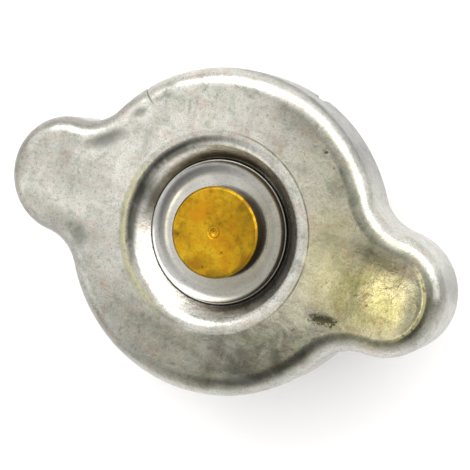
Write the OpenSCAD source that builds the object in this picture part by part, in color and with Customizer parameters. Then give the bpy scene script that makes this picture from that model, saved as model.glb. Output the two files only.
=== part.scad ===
// Bayonet radiator pressure cap with two finger ears.
// Millimetres. +Z is the cap's axis, upwards; the ears lie along X.
// z = 0 is the lower face of the pressure seal.

/* [Shell outline] */
// Outer radius of the round skirt
body_r = 28; // [27.6:0.1:28.6]
// Distance from the axis to the centre of each ear's tip
ear_d = 30.7; // [30:0.1:31.4]
// Outer radius of each ear's tip
ear_r = 10.4; // [9.8:0.1:11]
// Radius of the hollow corner between body and ear
neck_r = 8.2; // [7.6:0.1:9]
// Height of the flat top above the seal face
top_z = 29; // [28.6:0.1:30]
// Height of the skirt
skirt_h = 12; // [11.6:0.1:12.6]
// Radius of the rounded shoulder
shoulder_r = 3.5; // [3:0.1:3.9]
// Thickness of the pressed sheet
sheet_t = 0.9; // [0.8:0.05:1]

/* [Sunk centre] */
// Radius where the flat top starts to roll down
recess_r = 16.7; // [16.7:0.05:17]
// Radius of the roll from the flat top into the recess
roll_r = 2.8; // [2.7:0.05:3]
// Slope of the recess wall
wall_ang = 46; // [46:0.5:49]
// Depth of the floor below the flat top
floor_depth = 4.2; // [4:0.1:4.2]

/* [Bayonet tabs] */
// Half of the angle that one tab covers
tab_half = 15; // [12:1:20]
// Radius of the tabs' inner edge
tab_in_r = 23.8; // [23:0.1:24.6]
// Angle of the slit beside each tab
slit_ang = 3.6; // [2.5:0.1:5]
// Height of the slit beside each tab
slit_h = 3.6; // [3:0.1:4.5]

/* [Crown washer and rivet] */
// Outer radius of the crown washer's rim
washer_r = 12.4; // [12.2:0.1:12.5]
// Thickness of the crown washer
washer_t = 0.5; // [0.4:0.05:0.6]
// Radius of the rivet head
head_r = 7.85; // [7.2:0.05:8.2]
// Depth of the rivet head's top below the flat top
head_depth = 0.95; // [0.8:0.05:1.1]
// Radius of the rivet shank that the shell turns on
shank_r = 4; // [3.6:0.1:4.4]
// Radial clearance of the turning fit
turn_gap = 0.06; // [0.03:0.01:0.09]

/* [Neck seal] */
// Outer radius of the sprung disc
disc_r = 25.6; // [24.8:0.1:26]
// Thickness of the sprung disc
disc_t = 0.35; // [0.3:0.05:0.4]
// Outer radius of the neck gasket
gasket_r = 25; // [24:0.1:25.4]
// Thickness of the neck gasket
gasket_t = 1; // [0.8:0.1:1.2]

/* [Pressure valve] */
// Outer radius of the pressure seal
seal_r = 16.8; // [16:0.1:17.4]
// Thickness of the pressure seal's outer ring
seal_t = 3.4; // [3.2:0.1:3.6]
// Outer radius of the plate that backs the seal
plate_r = 15.6; // [15:0.1:15.8]
// Mean radius of the big spring
spring_r = 10.7; // [10.6:0.05:10.8]
// Wire diameter of the big spring
spring_wire = 1.9; // [1.7:0.05:1.9]
// Turns of the big spring
spring_turns = 5.5; // [5:0.5:6]

/* [Vacuum valve] */
// Outer radius of the vacuum valve's disc
vac_r = 8.2; // [7.9:0.1:8.5]
// Radius of the vacuum valve's stem
vac_stem_r = 1.6; // [1.4:0.1:1.8]
// Wire diameter of the vacuum spring
vac_wire = 0.55; // [0.45:0.05:0.6]
// Turns of the vacuum spring
vac_turns = 4; // [3.5:0.5:4.5]

/* [Hidden] */
$fn = 96;
eps = 0.01;
plate_t = 0.8;                             // pressed plates of the valve
thin_t = 0.7;                              // bell, stem and seat sheet
skirt_z = top_z - skirt_h;                 // lower edge of the skirt
floor_z = top_z - floor_depth;             // upper face of the sunk floor
under_z = floor_z - sheet_t;               // its lower face
disc_top = under_z - 0.1;                  // sprung disc, upper face
disc_z = disc_top - disc_t;                // sprung disc, lower face
gasket_z = disc_z - gasket_t;              // neck gasket, lower face
seat_z = disc_z - thin_t;                  // spring seat, lower face
bell_top = seat_z;                         // bell, upper face
bell_in = bell_top - thin_t;               // bell, inside of its top
tail_r = 3;                                // rivet tail through the stack
bell_r = 8.3;                              // bell, outside radius
lip_z = 10.6;                              // bell, lower face of its lip
lip_r = 6.15;                              // bell, inside of its lip
plate_z = seal_t;                          // seal plate, lower face of its rim
boss_r = 9.4;                              // seal plate, raised middle
boss_z = plate_z + plate_t;                // lower face of the raised middle
stem_z = boss_z + plate_t;                 // stem's shoulder
tube_r = 5.9;                              // stem, outside of its upper tube
spigot_r = 4.1;                            // stem, outside of its lower spigot
stem_top = lip_z + thin_t + 0.1;           // underside of the stem's flared head
web_z = 2.2;                               // seal's inner web, lower face
cup_z = 10;                                // vacuum spring cup, lower face
hole_blend = recess_r + 1;                 // where the recess joins the flat top

// ---- winged outline: ear arc, hollow corner, body arc ----
out_a = body_r + neck_r;
out_b = ear_r + neck_r;
ang_a = acos((out_a * out_a + ear_d * ear_d - out_b * out_b) / (2 * out_a * ear_d));
cor_x = out_a * cos(ang_a);
cor_y = out_a * sin(ang_a);
ang_b = atan2(cor_y, cor_x - ear_d);
n_ear = 7;
n_cor = 6;
n_body = 9;

// One quarter of the outline, moved inwards by s, from the ear's tip to +Y
function quarter(s) = concat(
    [for (i = [0:n_ear]) let (t = ang_b * i / n_ear)
        [ear_d + (ear_r - s) * cos(t), (ear_r - s) * sin(t)]],
    [for (i = [1:n_cor]) let (t = ang_b + 180 + (ang_a - ang_b) * i / n_cor)
        [cor_x + (neck_r + s) * cos(t), cor_y + (neck_r + s) * sin(t)]],
    [for (i = [1:n_body]) let (t = ang_a + (90 - ang_a) * i / n_body)
        [(body_r - s) * cos(t), (body_r - s) * sin(t)]]);

// The whole outline, anticlockwise
function outline(s) = let (q = quarter(s), n = len(q)) concat(
    q,
    [for (i = [n - 2:-1:0]) [-q[i][0], q[i][1]]],
    [for (i = [1:n - 1]) [-q[i][0], -q[i][1]]],
    [for (i = [n - 2:-1:1]) [q[i][0], -q[i][1]]]);

function ring(s, z) = [for (p = outline(s)) [p[0], p[1], z]];

// Rings of the winged pan: up the outside, then down the inside
n_sh = 6;
pan_out = concat([[0, skirt_z]],
    [for (k = [0:n_sh]) let (t = 90 * k / n_sh)
        [shoulder_r * (1 - cos(t)), top_z - shoulder_r * (1 - sin(t))]]);
pan_in = concat(
    [for (k = [n_sh:-1:0]) let (t = 90 * k / n_sh, r = shoulder_r - sheet_t)
        [sheet_t + r * (1 - cos(t)), top_z - shoulder_r + r * sin(t)]],
    [[sheet_t, skirt_z]]);

module winged_pan() {
    rings = concat(pan_out, pan_in);
    n = len(outline(0));
    m = len(rings);
    mo = len(pan_out);
    pts = [for (r = rings) each ring(r[0], r[1])];
    sides = [for (k = [0:m - 1]) if (k != mo - 1) let (k2 = (k + 1) % m)
        for (i = [0:n - 1]) let (j = (i + 1) % n) each
            [[k * n + i, k2 * n + i, k2 * n + j], [k * n + i, k2 * n + j, k * n + j]]];
    top_face = [[for (i = [n - 1:-1:0]) (mo - 1) * n + i]];
    under_face = [[for (i = [0:n - 1]) mo * n + i]];
    polyhedron(points = pts, faces = concat(sides, top_face, under_face), convexity = 8);
}

// Points of an arc in a section
function arc(cx, cy, r, a0, a1, n = 6) =
    [for (i = [0:n]) let (t = a0 + (a1 - a0) * i / n) [cx + r * cos(t), cy + r * sin(t)]];

// The same without its first point, for an arc that carries on from another
function arc_on(cx, cy, r, a0, a1, n = 6) =
    [for (i = [1:n]) let (t = a0 + (a1 - a0) * i / n) [cx + r * cos(t), cy + r * sin(t)]];

// Section of the sunk centre, as one sheet of even thickness
foot_r = 0.4;                              // hollow corner on to the floor
module sunk_section() {
    t = sheet_t;
    ey = top_z - roll_r;
    hz = floor_z + foot_r;
    hx = recess_r - roll_r * sin(wall_ang) - foot_r * sin(wall_ang)
         - (ey + roll_r * cos(wall_ang) - hz + foot_r * cos(wall_ang)) / tan(wall_ang);
    upper = concat(
        [[hole_blend, top_z]],
        arc(recess_r, ey, roll_r, 90, 90 + wall_ang, 10),
        arc(hx, hz, foot_r, 270 + wall_ang, 270),
        [[shank_r + turn_gap, floor_z]]);
    lower = concat(
        [[shank_r + turn_gap, floor_z - t]],
        arc(hx, hz, foot_r + t, 270, 270 + wall_ang),
        arc(recess_r, ey, roll_r - t, 90 + wall_ang, 90, 8),
        [[hole_blend, top_z - t]]);
    polygon(concat(upper, lower));
}

// Section of one bayonet tab: the skirt's foot turned inwards, a little thinned by the bend
module tab_section() {
    r = 1.7;
    t = sheet_t - 0.16;
    ro = body_r - 0.1;
    cx = ro - r;
    cz = skirt_z + r;
    up = skirt_z + slit_h + 0.6;
    polygon(concat(
        [[ro, up]],
        arc(cx, cz, r, 0, -90),
        [[tab_in_r, skirt_z], [tab_in_r, skirt_z + t]],
        arc(cx, cz, r - t, -90, 0),
        [[ro - t, up]]));
}

module cap_shell() {
    color([0.72, 0.71, 0.68]) {
        difference() {
            winged_pan();
            translate([0, 0, top_z - 4]) cylinder(r = hole_blend, h = 8);
            // room for the tabs and their slits
            for (s = [90, 270]) rotate([0, 0, s - tab_half - slit_ang])
                rotate_extrude(angle = 2 * (tab_half + slit_ang))
                    translate([body_r - 3, skirt_z - 1]) square([6, slit_h + 1]);
        }
        rotate_extrude() sunk_section();
        for (s = [90, 270]) rotate([0, 0, s - tab_half])
            rotate_extrude(angle = 2 * tab_half) tab_section();
    }
}

// Shallow dish: a gentle rise, then the rim turned up
module crown_washer() {
    t = washer_t;
    z = floor_z + t;
    r1 = 6;
    r2 = 2;
    a1 = 12;
    a2 = 58;
    x1 = washer_r - t * sin(a2) - r2 * (sin(a2) - sin(a1)) - r1 * sin(a1);
    x2 = x1 + (r1 - r2) * sin(a1);
    z2 = z + r1 - (r1 - r2) * cos(a1);
    color([0.74, 0.74, 0.73]) rotate_extrude() polygon(concat(
        [[shank_r + turn_gap, floor_z]],
        arc(x1, z + r1, r1 + t, 270, 270 + a1, 3),
        arc_on(x2, z2, r2 + t, 270 + a1, 270 + a2, 8),
        arc(x2, z2, r2, 270 + a2, 270 + a1, 8),
        arc_on(x1, z + r1, r1, 270 + a1, 270, 3),
        [[shank_r + turn_gap, z]]));
}

// Turned rivet: dimpled head, shank, tail and closed tail head
module centre_rivet() {
    z1 = top_z - head_depth;
    z0 = floor_z + washer_t + 0.05;
    e = 0.35;
    color([0.79, 0.60, 0.17]) rotate_extrude() polygon(concat(
        [[0, z1 - 0.42], [0.5, z1 - 0.12], [1.05, z1 - 0.12], [1.15, z1]],
        arc(head_r - e, z1 - e, e, 90, 0, 4),
        [[head_r, z0], [shank_r, z0], [shank_r, disc_top], [tail_r, disc_top],
         [tail_r, bell_in], [4.7, bell_in], [4.5, bell_in - 0.7], [3.4, bell_in - 1.3],
         [0, bell_in - 1.45]]));
}

// Sprung disc with one raised bead, flat where the gasket sits
module spring_diaphragm() {
    up = 0.55;
    color([0.70, 0.66, 0.56]) rotate_extrude() polygon([
        [tail_r + 0.03, disc_z], [14.8, disc_z], [15.6, disc_z + up], [17.0, disc_z + up],
        [17.8, disc_z], [disc_r, disc_z], [disc_r, disc_top], [17.9, disc_top],
        [17.1, disc_top + up], [15.5, disc_top + up], [14.7, disc_top], [tail_r + 0.03, disc_top]]);
}

module neck_gasket() {
    c = 0.15;
    color([0.06, 0.06, 0.065]) rotate_extrude() polygon([
        [12.75, gasket_z], [gasket_r - c, gasket_z], [gasket_r, gasket_z + c],
        [gasket_r, disc_z], [12.75, disc_z]]);
}

// Plate with a turned-down rim round the spring's top coil
module spring_seat() {
    ro = 1.2;
    r = 12.65;
    color([0.66, 0.66, 0.66]) rotate_extrude() polygon(concat(
        [[tail_r + 0.03, seat_z], [tail_r + 0.03, disc_z]],
        arc(r - ro, disc_z - ro, ro, 90, 0),
        [[r, seat_z - 1.1], [r - thin_t, seat_z - 1.1]],
        arc(r - ro, disc_z - ro, ro - thin_t, 0, 90)));
}

// Inverted cup with an in-turned lip at its mouth
module stem_bell() {
    ro = 1.3;
    t = thin_t;
    color([0.70, 0.69, 0.66]) rotate_extrude() polygon(concat(
        [[tail_r + 0.03, bell_in], [tail_r + 0.03, bell_top]],
        arc(bell_r - ro, bell_top - ro, ro, 90, 0),
        arc(bell_r - ro, lip_z + ro, ro, 0, -90),
        [[lip_r, lip_z], [lip_r, lip_z + t]],
        arc(bell_r - ro, lip_z + ro, ro - t, -90, 0),
        arc(bell_r - ro, bell_top - ro, ro - t, 0, 90)));
}

// Round-wire compression spring from z0 to z1 with closed end turns
module coil(r, wire, turns, z0, z1, per_turn, sides) {
    w = wire / 2;
    tip = w + 0.02;                          // height of the wire's centre at its ends
    dead = 1.06 * wire;                      // pitch of the closed end turns
    live = (z1 - z0 - 2 * tip - 2 * dead) / (turns - 2);
    n = round(turns * per_turn);
    function height(u) = u < 1 ? tip + dead * u
        : u > turns - 1 ? z1 - z0 - tip - dead * (turns - u)
        : tip + dead + live * (u - 1);
    pts = [for (i = [0:n]) let (u = turns * i / n, a = 360 * u, zc = z0 + height(u))
        for (k = [0:sides - 1]) let (b = 360 * (k + 0.5) / sides)
            [(r + w * cos(b)) * cos(a), (r + w * cos(b)) * sin(a), zc + w * sin(b)]];
    sides_f = [for (i = [0:n - 1]) for (k = [0:sides - 1]) let (k2 = (k + 1) % sides) each
        [[i * sides + k, i * sides + k2, (i + 1) * sides + k2],
         [i * sides + k, (i + 1) * sides + k2, (i + 1) * sides + k]]];
    polyhedron(points = pts, faces = concat(sides_f,
        [[for (k = [sides - 1:-1:0]) k]],
        [[for (k = [0:sides - 1]) n * sides + k]]), convexity = 12);
}

module pressure_spring() {
    color([0.60, 0.60, 0.60])
        coil(spring_r, spring_wire, spring_turns, boss_z, seat_z, 24, 10);
}

// Stepped tube: flared head in the bell, shoulder on the plate, spun foot
module valve_stem() {
    t = thin_t;
    foot_z = web_z - 0.6;
    color([0.78, 0.64, 0.28]) rotate_extrude() polygon([
        [spigot_r - t, foot_z - 0.5], [5.4, foot_z - 0.5], [5.4, foot_z], [spigot_r, foot_z],
        [spigot_r, stem_z], [tube_r, stem_z], [tube_r, stem_top], [7.05, stem_top],
        [7.05, stem_top + t], [tube_r - t, stem_top + t], [tube_r - t, stem_z + t],
        [spigot_r - t, stem_z + t]]);
}

// Dished plate: raised middle, flat ring on the seal, turned-up rim
module valve_plate() {
    ro = 1.2;
    t = plate_t;
    color([0.76, 0.62, 0.27]) rotate_extrude() polygon(concat(
        [[spigot_r + 0.05, boss_z], [boss_r - t, boss_z], [boss_r - t + 0.25, plate_z]],
        arc(plate_r - ro, plate_z + ro, ro, -90, 0),
        [[plate_r, plate_z + 2.2], [plate_r - t, plate_z + 2.2]],
        arc(plate_r - ro, plate_z + ro, ro - t, 0, -90),
        [[boss_r, plate_z + t], [boss_r - 0.25, stem_z], [spigot_r + 0.05, stem_z]]));
}

// Rubber ring with a thick outer face and a thinner inner web
module pressure_seal() {
    c = 0.4;
    color([0.05, 0.05, 0.055]) rotate_extrude() polygon([
        [boss_r, 0], [seal_r - c, 0], [seal_r, c], [seal_r, plate_z - c],
        [seal_r - c, plate_z], [boss_r - plate_t + 0.15, plate_z],
        [boss_r - plate_t - 0.1, boss_z], [spigot_r + 0.05, boss_z],
        [spigot_r + 0.05, web_z], [boss_r - 0.3, web_z], [boss_r, web_z - 0.3]]);
}

module seal_washer() {
    color([0.74, 0.60, 0.27]) translate([0, 0, web_z - 0.6]) difference() {
        cylinder(r = 6.6, h = 0.6);
        translate([0, 0, -1]) cylinder(r = spigot_r + 0.05, h = 3);
    }
}

// Turned disc with a raised sealing rim, and its stem
module vacuum_valve() {
    top = web_z - 0.05;
    color([0.79, 0.63, 0.25]) rotate_extrude() polygon([
        [0, 0.4], [vac_r - 0.4, 0.4], [vac_r, 0.8], [vac_r, top - 0.2], [vac_r - 0.2, top],
        [vac_r - 1.0, top], [vac_r - 1.3, 1.0], [vac_stem_r + 0.4, 1.0], [vac_stem_r, 1.4],
        [vac_stem_r, cup_z], [1.25, cup_z], [1.25, cup_z + 0.6], [1.7, cup_z + 0.6],
        [1.4, cup_z + 1.0], [0, cup_z + 1.1]]);
}

module vacuum_spring() {
    color([0.62, 0.62, 0.62])
        coil(4.25, vac_wire, vac_turns, stem_z + thin_t, cup_z, 20, 6);
}

// Small cup that holds the vacuum spring's upper end
module vacuum_spring_cup() {
    color([0.74, 0.60, 0.27]) rotate_extrude() polygon([
        [1.27, cup_z], [4.6, cup_z], [4.7, cup_z - 0.9], [4.95, cup_z - 0.9],
        [4.95, cup_z + 0.4], [4.75, cup_z + 0.6], [1.27, cup_z + 0.6]]);
}

cap_shell();
crown_washer();
centre_rivet();
spring_diaphragm();
neck_gasket();
spring_seat();
stem_bell();
pressure_spring();
valve_stem();
valve_plate();
pressure_seal();
seal_washer();
vacuum_valve();
vacuum_spring();
vacuum_spring_cup();
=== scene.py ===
import math

import bpy
import numpy as np
from mathutils import Matrix, Vector, noise


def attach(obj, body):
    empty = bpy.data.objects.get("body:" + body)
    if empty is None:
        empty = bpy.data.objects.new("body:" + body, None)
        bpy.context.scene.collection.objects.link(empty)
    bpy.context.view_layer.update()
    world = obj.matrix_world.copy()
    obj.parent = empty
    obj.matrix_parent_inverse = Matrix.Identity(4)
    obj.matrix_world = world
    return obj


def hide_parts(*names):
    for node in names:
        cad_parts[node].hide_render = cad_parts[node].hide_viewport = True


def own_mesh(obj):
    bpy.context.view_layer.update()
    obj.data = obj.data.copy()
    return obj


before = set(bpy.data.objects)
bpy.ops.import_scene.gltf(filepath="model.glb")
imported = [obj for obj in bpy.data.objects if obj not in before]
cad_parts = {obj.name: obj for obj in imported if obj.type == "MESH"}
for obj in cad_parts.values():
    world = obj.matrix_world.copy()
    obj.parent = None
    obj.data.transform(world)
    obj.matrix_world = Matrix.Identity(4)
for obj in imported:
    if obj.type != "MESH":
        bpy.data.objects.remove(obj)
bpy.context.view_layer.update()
MM = 0.001

# ---------------------------------------------------------------- dimensions
# The cap's own sizes in millimetres, as in the CAD source.
BODY_R, EAR_D, EAR_R, NECK_R = 28.0, 30.7, 10.4, 8.2
TOP, SKIRT_H, SHOULDER, SHEET = 29.0, 12.0, 3.5, 0.9
SKIRT_Z = TOP - SKIRT_H
FLOOR_Z = TOP - 4.2
UNDER_Z = FLOOR_Z - SHEET
DISC_TOP = UNDER_Z - 0.1
DISC_Z = DISC_TOP - 0.35
GASKET_Z = DISC_Z - 1.0
SEAT_Z = DISC_Z - 0.7
BELL_TOP = SEAT_Z
BELL_IN = BELL_TOP - 0.7
PLATE_Z, BOSS_Z, STEM_Z = 3.4, 4.2, 5.0
LIP_Z, STEM_TOP, WEB_Z, CUP_Z = 10.6, 11.4, 2.2, 10.0
HOLE_BLEND = 17.7
RECESS_R, ROLL_R, FOOT_R, WALL_ANG = 16.7, 2.8, 0.4, 46.0
SLIT_H, SLIT_ANG, TAB_HALF, TAB_IN = 3.6, 3.6, 15.0, 23.8


# ---------------------------------------------------------------- mesh helpers
def arc(cx, cy, r, a0, a1, n):
    t = np.radians(np.linspace(a0, a1, n + 1))
    return [(cx + r * math.cos(x), cy + r * math.sin(x)) for x in t]


def rounded(corners, closed=True, step=9.0):
    """Corners (x, y, radius) to a polyline with true arcs at the corners."""
    out = []
    n = len(corners)
    for i, (x, y, rad) in enumerate(corners):
        if rad <= 0 or (not closed and i in (0, n - 1)):
            out.append((x, y))
            continue
        px, py, _ = corners[i - 1]
        qx, qy, _ = corners[(i + 1) % n]
        a = np.array([px - x, py - y], float)
        b = np.array([qx - x, qy - y], float)
        la, lb = np.linalg.norm(a), np.linalg.norm(b)
        a, b = a / la, b / lb
        ang = math.acos(max(-1.0, min(1.0, float(a @ b))))
        if ang > math.pi - 1e-4:
            out.append((x, y))
            continue
        d = rad / math.tan(ang / 2)
        d = min(d, la * 0.49, lb * 0.49)
        rr = d * math.tan(ang / 2)
        mid = (a + b) / np.linalg.norm(a + b)
        c = np.array([x, y]) + mid * rr / math.sin(ang / 2)
        p0 = np.array([x, y]) + a * d
        p1 = np.array([x, y]) + b * d
        t0 = math.atan2(*(p0 - c)[::-1])
        t1 = math.atan2(*(p1 - c)[::-1])
        dt = (t1 - t0 + math.pi) % (2 * math.pi) - math.pi
        k = max(2, int(abs(math.degrees(dt)) / step) + 1)
        for j in range(k + 1):
            t = t0 + dt * j / k
            out.append((c[0] + rr * math.cos(t), c[1] + rr * math.sin(t)))
    return out


def subdivide(pts, most, closed=True):
    """Splits long stretches of a polyline so that no edge is longer than most."""
    out = []
    n = len(pts)
    for i in range(n if closed else n - 1):
        p, q = np.array(pts[i]), np.array(pts[(i + 1) % n])
        k = max(1, int(math.ceil(np.linalg.norm(q - p) / most)))
        for j in range(k):
            out.append(tuple(p + (q - p) * j / k))
    if not closed:
        out.append(tuple(pts[-1]))
    return out


def finish_mesh(name, verts, faces, sharp=38.0):
    """A mesh object from points in millimetres, welded, outward, smooth with sharp edges kept."""
    import bmesh
    me = bpy.data.meshes.new(name)
    me.from_pydata([tuple(float(c) * MM for c in v) for v in verts], [], faces)
    bm = bmesh.new()
    bm.from_mesh(me)
    bmesh.ops.remove_doubles(bm, verts=bm.verts, dist=2e-6)
    bmesh.ops.dissolve_degenerate(bm, edges=bm.edges, dist=1e-7)
    bmesh.ops.recalc_face_normals(bm, faces=bm.faces)
    bm.to_mesh(me)
    bm.free()
    me.polygons.foreach_set("use_smooth", [True] * len(me.polygons))
    me.set_sharp_from_angle(angle=math.radians(sharp))
    me.update()
    ob = bpy.data.objects.new(name, me)
    bpy.context.scene.collection.objects.link(ob)
    return ob


def lathe(name, profile, segs=144, most=1.2, axis=False, warp=None, sharp=38.0):
    """Turns a section (r, z) about Z. axis: the section starts and ends on the axis and isn't closed."""
    pts = subdivide(profile, most, closed=not axis)
    verts, faces = [], []
    n = len(pts)
    for r, z in pts:
        for k in range(segs):
            t = 2 * math.pi * k / segs
            verts.append((r * math.cos(t), r * math.sin(t), z))
    for i in range(n if not axis else n - 1):
        j = (i + 1) % n
        for k in range(segs):
            m = (k + 1) % segs
            a, b, c, d = i * segs + k, i * segs + m, j * segs + m, j * segs + k
            if pts[i][0] < 1e-6:
                faces.append((a, c, d))
            elif pts[j][0] < 1e-6:
                faces.append((a, b, c))
            else:
                faces.append((a, b, c, d))
    if warp:
        verts = [warp(*v) for v in verts]
    return finish_mesh(name, verts, faces, sharp)


def coil(name, r, wire, turns, z0, z1, per_turn=56, sides=18, turn0=0.0):
    """Round-wire spring with closed end turns whose outer faces are ground flat."""
    w = wire / 2
    tip, dead = w * 0.5, 1.03 * wire
    span = z1 - z0
    live = (span - 2 * tip - 2 * dead) / (turns - 2)
    n = int(round(turns * per_turn))
    u = np.linspace(0, turns, n + 1)

    def height(x):
        if x < 1:
            return tip + dead * x
        if x > turns - 1:
            return span - tip - dead * (turns - x)
        return tip + dead + live * (x - 1)
    h = np.array([height(x) for x in u])
    k = max(3, per_turn // 5)
    pad = np.concatenate([np.full(k, h[0]) - dead / per_turn * np.arange(k, 0, -1), h,
                          np.full(k, h[-1]) + dead / per_turn * np.arange(1, k + 1)])
    ker = np.hanning(2 * k + 1)
    h = np.convolve(pad, ker / ker.sum(), mode="valid")
    verts, faces = [], []
    for i in range(n + 1):
        a = 2 * math.pi * u[i] + turn0
        for j in range(sides):
            b = 2 * math.pi * (j + 0.5) / sides
            z = z0 + h[i] + w * math.sin(b)
            rr = r + w * math.cos(b)
            verts.append((rr * math.cos(a), rr * math.sin(a), min(z1 - 0.004, max(z0 + 0.004, z))))
    for i in range(n):
        for j in range(sides):
            m = (j + 1) % sides
            faces.append((i * sides + j, i * sides + m, (i + 1) * sides + m, (i + 1) * sides + j))
    faces.append(tuple(range(sides - 1, -1, -1)))
    faces.append(tuple(n * sides + j for j in range(sides)))
    return finish_mesh(name, verts, faces, 50.0)


# ---------------------------------------------------------------- the pressed shell
OUT_A, OUT_B = BODY_R + NECK_R, EAR_R + NECK_R
ANG_A = math.acos((OUT_A ** 2 + EAR_D ** 2 - OUT_B ** 2) / (2 * OUT_A * EAR_D))
COR = np.array([OUT_A * math.cos(ANG_A), OUT_A * math.sin(ANG_A)])
ANG_B = math.atan2(COR[1], COR[0] - EAR_D)
HALF_PI = math.pi / 2


def quarter_stations():
    """Stations along a quarter of the outline: (which arc, angle)."""
    tab0 = math.radians(90 - TAB_HALF)
    tab1 = math.radians(90 - TAB_HALF - SLIT_ANG)
    ear = [("ear", ANG_B * i / 34) for i in range(34)]
    cor = [("cor", ANG_B + math.pi + (ANG_A - ANG_B) * i / 20) for i in range(20)]
    body = [("body", ANG_A + (tab1 - ANG_A) * i / 40) for i in range(40)]
    slit = [("body", tab1 + (tab0 - tab1) * i / 6) for i in range(6)]
    tab = [("body", tab0 + (HALF_PI - tab0) * i / 16) for i in range(17)]
    return ear + cor + body + slit + tab


QS = quarter_stations()


def quarter_points(s):
    out = []
    for kind, t in QS:
        c, n = math.cos(t), math.sin(t)
        if kind == "ear":
            out.append((EAR_D + (EAR_R - s) * c, (EAR_R - s) * n))
        elif kind == "cor":
            out.append((COR[0] + (NECK_R + s) * c, COR[1] + (NECK_R + s) * n))
        else:
            out.append(((BODY_R - s) * c, (BODY_R - s) * n))
    return np.array(out)


def loop_points(s):
    q = quarter_points(s)
    a = q[:-1]
    b = q[::-1][:-1] * [-1, 1]
    c = q[:-1] * [-1, -1]
    d = q[::-1][:-1] * [1, -1]
    return np.concatenate([a, b, c, d])


def station_kinds():
    """For each stretch between two stations: foot, slit or tab."""
    n = len(QS) - 1
    kinds = []
    for i in range(n):
        t = math.degrees((QS[i][1] + QS[i + 1][1]) / 2) if QS[i][0] == "body" and QS[i + 1][0] == "body" else 0
        kinds.append("tab" if t > 90 - TAB_HALF else "slit" if t > 90 - TAB_HALF - SLIT_ANG else "foot")
    return kinds + kinds[::-1] + kinds + kinds[::-1]


def ease(a, b, x):
    t = np.clip((x - a) / (b - a), 0, 1)
    return t * t * (3 - 2 * t)


def bump(x, y, cx, cy, ang, la, lb):
    """A soft oval, 1 at its middle, la by lb across its halves, turned by ang degrees."""
    c, s = math.cos(math.radians(ang)), math.sin(math.radians(ang))
    u = ((x - cx) * c + (y - cy) * s) / la
    v = (-(x - cx) * s + (y - cy) * c) / lb
    return np.exp(-(u * u + v * v))


def fbm(p, scale, octaves=3, seed=0.0):
    out = np.empty(len(p))
    for i, q in enumerate(p):
        v = Vector((q[0] * scale + seed, q[1] * scale - seed * 0.7, q[2] * scale + seed * 1.3))
        a, f = 0.0, 1.0
        for _ in range(octaves):
            a += noise.noise(v * f) / f
            f *= 2.03
        out[i] = a
    return out


def sink_section():
    """Upper and lower faces of the sunk centre, from the flat top to the rivet hole."""
    t, w = SHEET, math.radians(WALL_ANG)
    ey, hz, fz = TOP - ROLL_R, FLOOR_Z + FOOT_R, FLOOR_Z
    hx = RECESS_R - (ROLL_R + FOOT_R) * math.sin(w) - (ey - hz + (ROLL_R + FOOT_R) * math.cos(w)) / math.tan(w)

    def cone(drop, n):                          # points along the straight part of the wall
        a = np.array([RECESS_R - (ROLL_R - drop) * math.sin(w), ey + (ROLL_R - drop) * math.cos(w)])
        b = np.array([hx + (FOOT_R + drop) * math.sin(w), hz - (FOOT_R + drop) * math.cos(w)])
        return [tuple(a + (b - a) * i / n) for i in range(1, n)]

    upper = ([(HOLE_BLEND, TOP), (17.4, TOP), (17.05, TOP)] + arc(RECESS_R, ey, ROLL_R, 90, 90 + WALL_ANG, 20) + cone(0.0, 6)
             + arc(hx, hz, FOOT_R, 270 + WALL_ANG, 270, 6) + [(10.4, fz), (9.0, fz), (6.0, fz), (4.16, fz), (4.06, fz - 0.1)])
    lower = ([(HOLE_BLEND, TOP - t), (17.2, TOP - t)] + arc(RECESS_R, ey, ROLL_R - t, 90, 90 + WALL_ANG, 12) + cone(t, 4)
             + arc(hx, hz, FOOT_R + t, 270 + WALL_ANG, 270, 8) + [(10.4, fz - t), (9.0, fz - t), (6.0, fz - t), (4.16, fz - t), (4.06, fz - t + 0.1)])
    return upper, lower


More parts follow.
